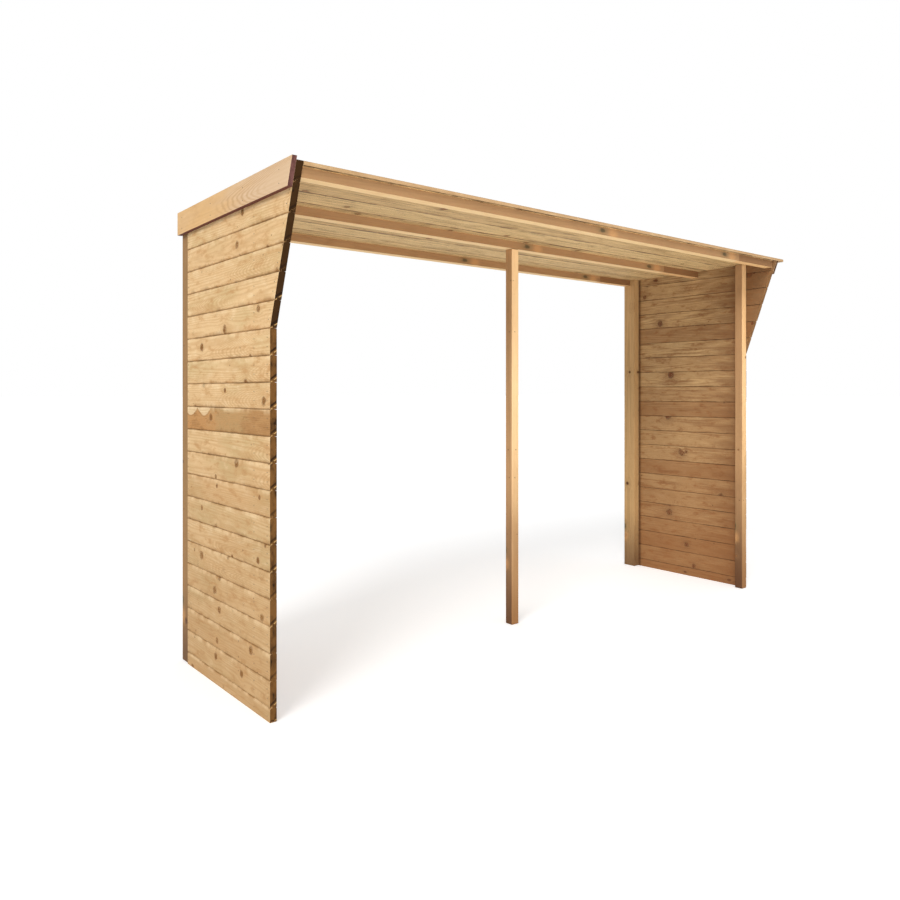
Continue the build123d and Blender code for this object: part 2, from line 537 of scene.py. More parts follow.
@dataclass(frozen=True)
class TimberFinish:
    """What all timber has: its colours, the sizes of its pattern, and its gloss and bump."""

    name: str
    pale: Colour
    ring: Colour
    deep: Colour
    ring_pitch: float = 0.005
    ring_wander: float = 0.012
    ring_strength: float = 0.45
    streak_along: float = 2.6
    streak_across: float = 110.0
    knot_pitch: float = 0.3
    knot_row: float = WALL_COVER
    knot_share: float = 0.5
    knot_radius: float = 0.008
    pin_share: float = 0.25
    cover: float = 0.0
    gloss: float = 0.3
    roughness: Span = (0.6, 0.82)
    bump_strength: float = 0.45
    bump_depth: float = 0.0012

    def material(self, softwood: bpy.types.NodeTree) -> bpy.types.Material:
        """Make the material.

        Args:
            softwood: The group that holds the pattern.

        Returns:
            A material whose colour, roughness and bump come from the pattern.
        """
        material = new_material(self.name)
        wood = WoodSheet(material.node_tree, softwood, self)
        self.paint(wood)
        pattern = wood.pattern
        height = pattern["Ring"] * 0.5 + pattern["Fibre"] * 0.35 + pattern["Core"] * 0.6
        bump = {"Strength": self.bump_strength, "Distance": self.bump_depth, "Height": height}
        wood.fill(wood.tree.nodes["Principled BSDF"], {
            "Base Color": wood.colour,
            "Specular IOR Level": self.gloss,
            "Roughness": pattern["Fibre"].ease(0.2, 0.8, *self.roughness),
            "Normal": wood.term("ShaderNodeBump", bump),
        })
        return material

    def paint(self, wood: WoodSheet) -> None:
        """Lay colours over the pale one. Each kind of finish does it in its own way."""
        raise NotImplementedError


@dataclass(frozen=True, kw_only=True)
class WoodFinish(TimberFinish):
    """A planed face of softwood."""

    patch: Colour
    light: Colour = (246, 218, 172)
    knot: Colour = (140, 92, 50)
    rim: Colour = (88, 54, 28)
    patch_strength: float = 0.35
    mottle_strength: float = 0.3
    streak_strength: float = 0.35
    streak_range: Span = (0.5, 0.72)
    fibre_strength: float = 0.16
    halo_strength: float = 0.35
    arch_strength: float = 0.0
    arch_pitch: float = 0.042
    arch_bend: float = 95.0
    arch_wander: float = 0.16
    arch_heart: float = -0.014
    # Colour of the dark joints; also laid as painted shade under each board's lower edge, and at corner.
    joint: Colour = (112, 74, 40)
    joint_width: float = 0.0025
    joint_strength: float = 0.6
    joint_least: float = 0.0
    joint_scale: Triple = (11.0, 6.0, 0.0)
    joint_shift: float = 57.0 / 11.0
    # Strength of a painted highlight along the top edge of each board.
    crown_strength: float = 0.0
    # Painted shade: where set, a dark band in the joint colour from just before this place along the boards
    # to their rear end, beside the rear post.
    corner: float = 0.0
    # A colour laid towards the front; on the wall boards' back faces it is painted shade.
    front: Colour | None = None
    front_range: Span = (0.45, 0.0)
    soil: Colour = (150, 118, 82)
    soil_height: float = 0.0
    soil_strength: float = 0.5
    wane: Colour | None = None
    scallop_width: float = 0.12
    scallop_depth: float = 0.026
    scallops: Span = (0.172, 0.412)
    marks: tuple[float, ...] = ()
    mark_run: float = 0.062
    mark_knot: Colour = (78, 66, 40)
    mark_halo: Colour = (134, 108, 70)
    mark_resin: Colour = (208, 154, 98)

    def paint(self, wood: WoodSheet) -> None:
        """Lay the colours over each other, from the wood to the knots and the joints.

        Args:
            wood: The material's tree.
        """
        pattern = wood.pattern
        wood.lay(pattern["Patch"].ease(0.45, 0.75, 0.0, self.patch_strength), self.patch)
        wood.lay(pattern["Mottle"].ease(0.52, 0.7, 0.0, self.mottle_strength), self.light)
        wood.lay(pattern["Mottle"].ease(0.48, 0.32, 0.0, self.mottle_strength), self.deep)
        wood.lay(wood.tone, self.deep)
        wood.lay(wood.tone * -1.0, self.light)
        # On the wall boards' back faces, the front colour is painted shade.
        if self.front:
            self._front(wood)
        if self.wane:
            self._wane(wood)
        if self.arch_strength:
            self._arches(wood)
        wood.lay(pattern["Ring"] * self.ring_strength, self.ring)
        wood.lay(pattern["Streak"].ease(*self.streak_range, 0.0, self.streak_strength), self.ring)
        wood.lay(pattern["Fibre"].ease(0.35, 0.75, 0.0, self.fibre_strength), self.deep)
        if self.soil_height:
            self._soil(wood)
        # Painted shade: a dark band at the rear end of the boards, beside the rear post.
        if self.corner:
            wood.lay(wood.along.ease(self.corner - 0.022, self.corner - 0.006, 0.0, 0.7), self.joint)
        wood.lay(pattern["Halo"] * self.halo_strength, self.ring)
        wood.lay(pattern["Core"], self.knot)
        wood.lay(pattern["Rim"] * 0.6, self.rim)
        wood.lay(pattern["Pin"] * 0.75, self.rim)
        for along in self.marks:
            self._mark(wood, along)
        if self.cover:
            self._joints(wood)

    def _front(self, wood: WoodSheet) -> None:
        """Another colour towards the front of the store, with an uneven border; on the wall boards' back
        faces it is painted shade.
        """
        place = wood.grain.noise((5.0, 26.0, 0.0)) * 0.5 + wood.along
        wood.lay(place.ease(*self.front_range, 0.0, 0.8), self.front)

    def _soil(self, wood: WoodSheet) -> None:
        """Darker wood towards the ground."""
        height = wood.pattern["Patch"] * (-0.5 * self.soil_height) + wood.place.parts()[2]
        wood.lay(height.ease(-0.3 * self.soil_height, self.soil_height, self.soil_strength, 0.0), self.soil)

    def _arches(self, wood: WoodSheet) -> None:
        """Nested arches over the middle of a board, as where it was cut beside the tree's heart.

        Args:
            wood: The material's tree.
        """
        shift = wood.board * 0.9 - 0.333
        along = wood.along + shift
        rough = wood.combine(along, wood.across, shift).noise((3.5, 20.0, 9.0), 3.0)
        aside = wood.across - self.arch_heart
        tip = aside * aside * self.arch_bend + along
        line = ((rough * self.arch_wander + tip) / self.arch_pitch).lines(2.0)
        reach = tip.ease(0.14, 0.02) * tip.ease(-0.34, -0.12)
        wood.lay(line * reach * self.arch_strength, self.ring)

    def _wane(self, wood: WoodSheet) -> None:
        """The brownest board: duller to the front, olive in the middle, scalloped along its top.

        Args:
            wood: The material's tree.
        """
        brown = wood.tone.math("GREATER_THAN", 0.8)
        rough = wood.grain.noise((9.0, 30.0, 0.0), 4.0, 0.7)
        shifted = rough * 0.4 + wood.along - 0.05
        mottle = wood.pattern["Mottle"]
        wood.lay(shifted.ease(0.32, 0.24, 0.0, 0.9) * brown, self.wane)
        wood.lay(abs(shifted - 0.18).ease(0.17, 0.07, 0.0, 0.36) * brown, self.patch)
        wood.lay(mottle.ease(0.5, 0.6, 0.0, 0.5) * brown, self.ring)
        wood.lay(mottle.ease(0.46, 0.38, 0.0, 0.5) * brown, self.knot)

        first, last = self.scallops
        lobes = abs(((wood.along - last) * (math.pi / self.scallop_width)).math("SINE"))
        within = wood.along.ease(first - 0.006, first + 0.006) * wood.along.ease(last + 0.006, last - 0.006)
        depth = lobes * within * self.scallop_depth + rough.ease(0.35, 0.65, 0.001, 0.006)
        rise = wood.across + depth - self.cover / 2
        wood.lay(rise.ease(-0.008, -0.002) * within * brown * 0.45, self.knot)
        wood.lay(rise.ease(-0.003, 0.003) * brown * 0.85, self.light)

    def _mark(self, wood: WoodSheet, along: float) -> None:
        """One green-black knot at a known place, with resin beyond it.

        Args:
            wood: The material's tree.
            along: Where the knot is along the timber.
        """
        ragged = wood.grain.noise((60.0, 110.0, 110.0), 3.0, 0.6)
        away = wood.grain - (along, 0.002, 0.0)
        knot = (away * (46.0, 82.0, 0.0)).math("LENGTH") * (ragged * 1.2 + 0.4)
        beyond = away - (self.mark_run, -0.004, 0.0)
        resin = (beyond * (30.0, 40.0, 0.0)).math("LENGTH") * (ragged + 0.5)
        wood.lay(resin.ease(0.2, 1.3, 0.55, 0.0), self.mark_resin)
        wood.lay(knot.ease(0.6, 2.4, 0.5, 0.0), self.mark_halo)
        wood.lay(knot.ease(0.35, 1.0, 0.85, 0.0), self.mark_knot)

    def _joints(self, wood: WoodSheet) -> None:
        """An uneven dark line where boards meet, widened into painted shade under each board's lower edge,
        over a painted highlight along the top of the board below.

        Args:
            wood: The material's tree.
        """
        top, width = self.cover / 2, self.joint_width
        uneven = (wood.grain + wood.combine(wood.board * self.joint_shift)).noise(self.joint_scale, 3.0, 0.7)
        # Painted highlight along the top edge of each board.
        crown_highlight = wood.across.ease(top - 4.0 * width, top - width)
        wood.lay(crown_highlight * uneven.ease(0.35, 0.6, self.crown_strength, 0.0), self.light)
        # Painted shade: the dark line reaches further under each board's lower edge than over the top of the
        # board below.
        shaded_lower_edge = wood.across.math("LESS_THAN", 0.0)
        reach = uneven.ease(0.35, 0.7, 0.5, 2.2) * width * (shaded_lower_edge * 1.2 + 0.5)
        near = (abs(wood.across) + reach - top).ease(0.0, reach)
        wood.lay(near * uneven.ease(0.38, 0.64, self.joint_least, self.joint_strength), self.joint)


@dataclass(frozen=True, kw_only=True)
class EndGrainFinish(TimberFinish):
    """Sawn ends of boards: darker and more open than a face, and darkest on the leaning edge, where the added
    darkness is painted shade.
    """

    # Painted shade on the ends above the turn height.
    upper: Colour = (72, 46, 24)
    blotch: Colour = (30, 18, 10)
    tick: Colour = (206, 166, 108)
    gloss: float = 0.05
    turn_height: float = 0.0
    lot_step: float = 331.0
    stroke_rise: float = 0.017
    tick_rise: float = 0.007

    def paint(self, wood: WoodSheet) -> None:
        """Rings and blotches, with a darker top part that is painted shade, and a slanting stroke at each
        joint.

        Args:
            wood: The material's tree.
        """
        rough = wood.place.noise((60.0, 60.0, 26.0), 3.0, 0.6)
        wood.lay(wood.pattern["Ring"] * self.ring_strength, self.ring)
        wood.lay(rough.ease(0.4, 0.62, 0.0, 0.7), self.deep)
        # Painted shade: the ends above the turn height are darker.
        if self.turn_height:
            height = wood.place.parts()[2]
            high = wood.mix(rough.ease(0.42, 0.7, 0.0, 0.5), linear(self.upper), linear(self.deep))
            wood.lay(height.ease(self.turn_height - 0.01, self.turn_height + 0.01), high)
        wood.lay(rough.ease(0.6, 0.72, 0.0, 0.85), self.blotch)
        if self.cover:
            self._strokes(wood)

    def _strokes(self, wood: WoodSheet) -> None:
        """A dark slanting stroke above each joint, and a pale one under some of them.

        Args:
            wood: The material's tree.
        """
        slanted = wood.into * 0.7 + wood.across
        chance = wood.lot(wood.board * self.lot_step, "Value")
        above = abs(slanted + (self.cover / 2 - self.stroke_rise))
        wood.lay(above.ease(0.0015, 0.0055, 1.0, 0.0) * chance.ease(0.0, 1.0, 0.4, 0.9), self.blotch)
        under = abs(slanted + (self.cover / 2 - self.tick_rise))
        some = chance.math("GREATER_THAN", 0.45)
        wood.lay(under.ease(0.0009, 0.0024, 0.85, 0.0) * some, self.tick)


@dataclass(frozen=True)
class SteelFinish:
    """Bright nail steel with a dull film."""

    bright: Colour = (126, 104, 80)
    dull: Colour = (78, 58, 42)
    film_scale: Triple = (420.0, 420.0, 420.0)

    def material(self) -> bpy.types.Material:
        """Make the material.

        Returns:
            A metal whose colour and roughness vary over each head.
        """
        material = new_material("nail_steel")
        sheet = NodeSheet(material.node_tree)
        film = sheet.term("ShaderNodeTexCoord", output="Object").noise(self.film_scale, 3.0, 0.6)
        sheet.fill(sheet.tree.nodes["Principled BSDF"], {
            "Metallic": 0.6,
            "Base Color": sheet.mix(film, linear(self.bright), linear(self.dull)),
            "Roughness": film.ease(0.3, 0.7, 0.35, 0.6),
        })
        return material


@dataclass(frozen=True)
class FloorFinish:
    """A white studio floor that keeps a shadow."""

    white: Colour = (236, 236, 236)
    lift: float = 0.4

    def material(self) -> bpy.types.Material:
        """Make the material.

        Returns:
            A diffuse white, with light of its own for the camera only.
        """
        material = new_material("studio_floor")
        sheet = NodeSheet(material.node_tree)
        sheet.tree.nodes.clear()
        matt = sheet.term("ShaderNodeBsdfDiffuse", {"Color": linear(self.white)})
        glow = sheet.term("ShaderNodeEmission", {"Color": WHITE, "Strength": sheet.seen() * self.lift})
        both = sheet.term("ShaderNodeAddShader", {0: matt, 1: glow})
        sheet.add("ShaderNodeOutputMaterial", {"Surface": both})
        return material


CLEAR = {"knot_share": 0.0, "pin_share": 0.0}
FINISHES = (
    # Painted highlight along each board's top edge, and painted shade under each board's lower edge.
    WoodFinish(
        "wall_face", pale=(234, 198, 147), ring=(196, 150, 96), deep=(192, 138, 80), patch=(200, 180, 126),
        knot=(126, 80, 20), rim=(104, 60, 14), knot_radius=0.0095, mottle_strength=0.65, patch_strength=0.55,
        arch_strength=0.5, arch_pitch=0.026, cover=WALL_COVER, joint=(138, 94, 42), joint_width=0.005,
        joint_strength=0.66, joint_least=0.15, crown_strength=0.45, soil=(144, 106, 60), soil_height=1.0,
        soil_strength=0.46, wane=(164, 118, 68)),
    # A darker copy of the wall wood for the boards' back faces: painted shade. Its front colour and the dark
    # band at corner are painted shade too.
    WoodFinish(
        "wall_back", pale=(200, 164, 114), ring=(132, 92, 56), deep=(142, 94, 54), patch=(172, 142, 96),
        light=(214, 180, 130), knot=(106, 60, 30), rim=(72, 42, 22), knot_radius=0.013, knot_share=0.28,
        pin_share=0.1, mottle_strength=0.75, streak_along=3.2, streak_across=64.0, streak_strength=0.7,
        streak_range=(0.52, 0.66), halo_strength=0.7, cover=WALL_COVER, joint=(70, 42, 22),
        joint_width=0.0018, joint_strength=0.8, joint_least=0.3, front=(112, 75, 44),
        front_range=(0.3, -0.08), corner=0.374, soil=(140, 88, 46), soil_height=1.0, soil_strength=0.7),
    # Painted shade: the left wall's ends are darker above the kink.
    EndGrainFinish(
        "left_wall_ends", pale=(116, 80, 42), ring=(92, 60, 30), deep=(70, 46, 24), upper=(58, 37, 16),
        cover=WALL_COVER, turn_height=KINK_HEIGHT),
    EndGrainFinish(
        "right_wall_ends", pale=(144, 105, 68), ring=(124, 88, 54), deep=(112, 78, 46), blotch=(104, 72, 42)),
    WoodFinish(
        "roof_face", pale=(246, 213, 153), ring=(112, 76, 40), deep=(168, 128, 80), patch=(206, 178, 124),
        light=(244, 214, 164), ring_pitch=0.009, ring_strength=0.3, streak_along=3.2, streak_strength=0.72,
        streak_range=(0.565, 0.605), mottle_strength=0.4, fibre_strength=0.3, knot_row=ROOF_COVER,
        knot_pitch=0.42, knot_radius=0.011, cover=ROOF_COVER, joint=(74, 48, 26), joint_width=0.005,
        joint_strength=1.0, joint_least=0.7),
    WoodFinish(
        "roof_edge", pale=(200, 164, 120), ring=(162, 124, 82), deep=(146, 108, 68), patch=(184, 152, 106),
        **CLEAR),
    EndGrainFinish(
        "roof_ends", pale=(214, 184, 138), ring=(170, 134, 92), deep=(150, 110, 70), blotch=(140, 104, 68)),
    # A shaded and a lit copy of the purlin wood: painted shade on the faces, painted light on the undersides.
    WoodFinish(
        "purlin_face", pale=(171, 130, 87), ring=(148, 108, 70), deep=(124, 84, 48), patch=(174, 136, 94),
        light=(188, 144, 98), ring_strength=0.3, patch_strength=0.3, mottle_strength=0.15,
        streak_strength=0.15, knot_share=0.0, pin_share=0.05, marks=(0.0, 0.85)),
    WoodFinish(
        "purlin_under", pale=(255, 222, 166), ring=(250, 204, 144), deep=(238, 186, 124),
        patch=(255, 210, 152), light=(255, 234, 190), ring_strength=0.3, patch_strength=0.25,
        streak_strength=0.2, **CLEAR),
    # A shaded and a lit copy of the post wood: painted shade on the side faces, painted light on the front
    # faces.
    WoodFinish(
        "post_side", pale=(190, 148, 104), ring=(160, 120, 80), deep=(130, 92, 56), patch=(178, 134, 92),
        light=(222, 178, 128), ring_strength=0.3, knot_pitch=0.5, knot_share=0.25, mottle_strength=0.15,
        marks=(0.31,), mark_run=-0.055, soil=(86, 52, 26), soil_height=0.55, soil_strength=0.95),
    WoodFinish(
        "post_front", pale=(250, 207, 150), ring=(228, 178, 120), deep=(206, 154, 98), patch=(238, 190, 134),
        light=(255, 224, 176), ring_strength=0.35, knot_pitch=0.7, knot_share=0.4, mottle_strength=0.25,
        soil=(138, 92, 48), soil_height=0.8, soil_strength=0.95),
    WoodFinish(
        "post_rear", pale=(186, 146, 96), ring=(148, 110, 66), deep=(124, 84, 44), patch=(166, 140, 92),
        light=(218, 178, 124), knot=(88, 56, 32), ring_strength=0.35, knot_radius=0.01, mottle_strength=0.2,
        patch_strength=0.5, marks=(0.22,), mark_run=-0.055, soil=(92, 60, 34), soil_height=0.3,
        soil_strength=0.8),
    EndGrainFinish(
        "timber_ends", pale=(140, 100, 62), ring=(110, 74, 42), deep=(96, 62, 32)),
    WoodFinish(
        "barge_face", pale=(224, 181, 124), ring=(194, 150, 102), deep=(200, 154, 102), patch=(212, 178, 138),
        light=(236, 200, 152), front=(222, 193, 160), ring_pitch=0.01, ring_wander=0.06, ring_strength=0.16,
        arch_strength=0.6, knot_share=0.0, pin_share=0.05, streak_strength=0.15, fibre_strength=0.08),
    WoodFinish(
        "barge_edge", pale=(112, 62, 48), ring=(86, 42, 34), deep=(84, 44, 34), patch=(104, 60, 50),
        light=(124, 74, 58), **CLEAR),
    EndGrainFinish(
        "left_barge_ends", pale=(118, 80, 74), ring=(96, 60, 56), deep=(84, 52, 48), blotch=(72, 42, 40)),
    EndGrainFinish(
        "right_barge_ends", pale=(112, 80, 52), ring=(88, 60, 36), deep=(78, 52, 32), blotch=(56, 36, 22)),
)


# ---------------------------------------------------------------- boards that Geometry Nodes stack


@dataclass(frozen=True)
class BoardSection:
    """A tongue-and-groove section, from the back face to the show face."""

    thickness: float = 0.022
    gap: float = 0.001
    tongue_thickness: float = 0.007
    tongue_length: float = 0.008
    face_chamfer: float = 0.003
    back_chamfer: float = 0.001
    side_fit: float = 0.0004
    end_fit: float = 0.0005
    eased: float = 0.0004

    def corners(self) -> list[Span]:
        """The section with sharp corners.

        Returns:
            Its corners, as places through the thickness and up the cover.
        """
        middle = self.thickness / 2
        tongue = self.tongue_thickness / 2
        groove = tongue + self.side_fit
        groove_end = self.tongue_length + self.end_fit
        tip = WALL_COVER + self.tongue_length
        face = self.thickness - self.face_chamfer
        return [
            (0.0, self.gap + self.back_chamfer), (self.back_chamfer, self.gap),
            (middle - groove, self.gap), (middle - groove, groove_end),
            (middle + groove, groove_end), (middle + groove, self.gap),
            (face, self.gap), (self.thickness, self.gap + self.face_chamfer),
            (self.thickness, WALL_COVER - self.face_chamfer), (face, WALL_COVER),
            (middle + tongue, WALL_COVER), (middle + tongue, tip),
            (middle - tongue, tip), (middle - tongue, WALL_COVER),
            (self.back_chamfer, WALL_COVER), (0.0, WALL_COVER - self.back_chamfer),
        ]

    def outline(self) -> list[Vector]:
        """Cut each corner back a little, as a plane's knife leaves it.

        Returns:
            Two points for each corner.
        """
        corners = [Vector(corner) for corner in self.corners()]
        made = []
        for place, corner in enumerate(corners):
            before = (corners[place - 1] - corner).normalized()
            after = (corners[(place + 1) % len(corners)] - corner).normalized()
            made += [corner + before * self.eased, corner + after * self.eased]
        return made


class GeometrySheet(NodeSheet):
    """A Geometry Nodes tree of its own, from one geometry to another."""

    def __init__(self, name: str, start: str, sizes: dict[str, tuple[str, ...]], end: str) -> None:
        """Start the tree.

        Args:
            name: Name of the tree.
            start: Name of the geometry that comes in.
            sizes: Names of the other inputs, by kind.
            end: Name of the geometry that goes out.
        """
        super().__init__(bpy.data.node_groups.new(name, "GeometryNodeTree"))
        self.declare("Geometry", start)
        for kind, labels in sizes.items():
            self.declare(kind, *labels)
        self.declare("Geometry", end, way="OUTPUT")
        self.given = self.terms("NodeGroupInput")

    def store(self, geometry: Term, name: str, kind: str, value: Term) -> Term:
        """Write a named attribute on the points of a geometry."""
        inputs = {"Geometry": geometry, "Name": name, "Value": value}
        return self.term("GeometryNodeStoreNamedAttribute", inputs, data_type=kind, domain="POINT")

    def read(self, name: str, kind: str) -> Term:
        """Read a named attribute."""
        return self.term("GeometryNodeInputNamedAttribute", {"Name": name}, data_type=kind)

    def repeat(self, points: Term, shape: Term, **more: Term) -> Term:
        """Put a shape on each point, as real geometry."""
        shapes = self.term("GeometryNodeInstanceOnPoints", {"Points": points, "Instance": shape} | more)
        return self.term("GeometryNodeRealizeInstances", {0: shapes})

    def dress(self, geometry: Term, material: str, chosen: Value = True) -> Term:
        """Give chosen faces the material of one of the tree's inputs."""
        inputs = {"Geometry": geometry, "Selection": chosen, "Material": self.given[material]}
        return self.term("GeometryNodeSetMaterial", inputs)

    def position(self) -> list[Term]:
        """The three parts of each point's place."""
        return self.term("GeometryNodeInputPosition").parts()


class CourseTree(GeometrySheet):
    """The Geometry Nodes tree that stacks one board into a wall.

    The board comes in with its length from 0 to 1 along Y. The tree lays a course of it on the
    one below, cuts the front ends to the upright and leaning edge, trims the wall to the ground
    and to the roof's slope, and gives each board its own number, tone and slight bow.
    """

    SIZES = {
        "Int": ("Courses", "First Course", "Brown Course", "Seed"),
        "Float": ("Start Height", "Front", "Rear", "Lean", "Top Height", "Top Front", "Roof Slope",
                  "Ragged Ends", "Bow", "Palest Tone", "Brownest Tone"),
        "Material": tuple(face.name.title() for face in BoardFace),
    }
    WAVES = (2.4, 7.3, 1.0)

    def __init__(self) -> None:
        """Build the tree."""
        super().__init__("stack_courses", "Board", self.SIZES, "Wall")
        self.add("NodeGroupOutput", {"Wall": self._finish(self._shape(self._stack()))})

    def _draw(self, low: Value, high: Value, course: Term, draw: int) -> Term:
        """A number between low and high that belongs to a course, for one of its draws."""
        inputs = {2: low, 3: high, "ID": course, "Seed": self.given["Seed"] + float(draw)}
        return self.term("FunctionNodeRandomValue", inputs, 1, data_type="FLOAT")

    def _stack(self) -> Term:
        """Lay the courses on each other.

        Returns:
            The boards, each with its number, chance and tone.
        """
        given = self.given
        lift = given["First Course"] * WALL_COVER + given["Start Height"]
        points = self.term("GeometryNodeMeshLine", {
            "Count": given["Courses"], "Start Location": self.combine(0.0, 0.0, lift),
            "Offset": (0.0, 0.0, WALL_COVER)}, mode="OFFSET")
        course = self.term("GeometryNodeInputIndex") + given["First Course"]
        brown = course.math("COMPARE", given["Brown Course"], 0.5)
        tone = brown.math("MAXIMUM", self._draw(given["Palest Tone"], given["Brownest Tone"], course, 1))
        points = self.store(points, "course", "INT", course)
        points = self.store(points, "board", "FLOAT", self._draw(0.0, 1.0, course, 0))
        points = self.store(points, "tone", "FLOAT", tone)
        return self.repeat(points, given["Board"])

    def _shape(self, wall: Term) -> Term:
        """Cut the boards to length, height and slope, and bow them a little.

        Args:
            wall: The boards as they were stacked.

        Returns:
            The boards in their places.
        """
        given = self.given
        out, along, height = self.position()
        course = self.read("course", "INT")
        level = height.math("MINIMUM", given["Top Height"]).math("MAXIMUM", 0.0)
        above = (level - KINK_HEIGHT).math("MAXIMUM", 0.0)
        front = given["Front"] - above * given["Lean"] + self._draw(0.0, given["Ragged Ends"], course, 2)
        rear = given["Rear"] - self._draw(0.0, given["Ragged Ends"], course, 3)
        place = along * (rear - front) + front
        fall = (place - given["Top Front"]) * given["Roof Slope"]
        trimmed = level.math("MINIMUM", given["Top Height"] - fall)
        wave = self.combine(place, course, given["Seed"]).noise(self.WAVES, 1.0)
        bow = (wave - 0.5) * given["Bow"] * 2.0
        moved = self.combine(out + bow, place, trimmed)
        cut = self.term("GeometryNodeSetPosition", {"Geometry": wall, "Position": moved})
        return self.term("GeometryNodeMergeByDistance", {"Geometry": cut, "Distance": MERGE})

    def _finish(self, wall: Term) -> Term:
        """Write each point's place in its board, for the wood pattern, and dress the faces.

        Args:
            wall: The boards in their places.

        Returns:
            The finished wall.
        """
        _, across, into = self.read("section", "FLOAT_VECTOR").parts()
        grain = self.combine(self.position()[1], across, into)
        wall = self.store(wall, "grain", "FLOAT_VECTOR", grain)
        kind = self.read("kind", "INT")
        for face in BoardFace:
            wall = self.dress(wall, face.name.title(), kind.math("COMPARE", float(face.value), 0.5))
        return wall


@dataclass
class WallCladding:
    """The boards of one side wall, as two pieces that meet at the kink of the front edge."""

    side: Side
    tree: bpy.types.NodeTree
    materials: dict[str, bpy.types.Material]
    section: BoardSection = BoardSection()
    leaning_courses: int = 6
    lengths: int = 24
    ragged_ends: float = 0.0012
    bow: float = 0.0003
    brown_course: int = 11
    palest_tone: float = -0.35
    brownest_tone: float = 0.3
    seed: int = 3

    def __post_init__(self) -> None:
        """Read the wall's place and lean from the frame."""
        low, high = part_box(f"{self.side.word}_wall_lower_boards")
        lean_low, lean_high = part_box(f"{self.side.word}_wall_leaning_boards")
        self.inner = low.x if self.side is Side.RIGHT else high.x
        self.rear = high.y
        self.top_height, self.top_front = lean_high.z, lean_low.y
        self.start_height = FIRST_COURSE - WALL_COVER
        self.roof_slope = roof_slope()
        rise = self.top_height - KINK_HEIGHT
        tongue = self.section.tongue_length / rise
        self.front = (low.y - tongue * self.top_front) / (1.0 - tongue)
        self.lean = (self.front - self.top_front) / rise

    def blank(self) -> bpy.types.Mesh:
        """One board with its length from 0 to 1 along Y.

        Returns:
            A closed mesh with section, kind and outward-facing faces.
        """
        outline = self.section.outline()
        half = self.section.thickness / 2
        sign, count = self.side.value, len(outline)
        made = bmesh.new()
        kind = made.faces.layers.int.new("kind")
        section = made.verts.layers.float_vector.new("section")
        rings = []
        for step in range(self.lengths + 1):
            share = step / self.lengths
            rings.append([made.verts.new((self.inner + sign * point.x, share, point.y)) for point in outline])
            for vert, point in zip(rings[-1], outline):
                vert[section] = (0.0, point.y - WALL_COVER / 2, point.x - half)
        for near, far in zip(rings, rings[1:]):
            for place in range(count):
                after = (place + 1) % count
                made.faces.new((near[place], near[after], far[after], far[place]))
        ends = [made.faces.new(rings[0]), made.faces.new(rings[-1])]
        bmesh.ops.recalc_face_normals(made, faces=made.faces)
        for face in made.faces:
            behind = (face.calc_center_median().x - self.inner) * sign < half
            face[kind] = (BoardFace.BACK if behind else BoardFace.SHOW).value
        for face in ends:
            face[kind] = BoardFace.END.value
        return keep_mesh("board_blank", made)

    def build(self) -> None:
        """Stack both parts of the wall."""
        word = self.side.word
        # The back faces take a darker copy of the wall wood: painted shade.
        finishes = ("wall_face", "wall_back", f"{word}_wall_ends")
        faces = {field(face.name): self.materials[name] for face, name in zip(BoardFace, finishes)}
        for part, first, courses in (("lower", 0, LOWER_COURSES),
                                     ("leaning", LOWER_COURSES, self.leaning_courses)):
            values = vars(self) | faces | {"first_course": first, "courses": courses}
            piece = run_tree(f"{word}_wall_{part}_cladding", self.blank(), self.tree, values)
            hang(piece, "wall_boards", f"{word}_wall_{part}_boards")


# ---------------------------------------------------------------- sawn pieces


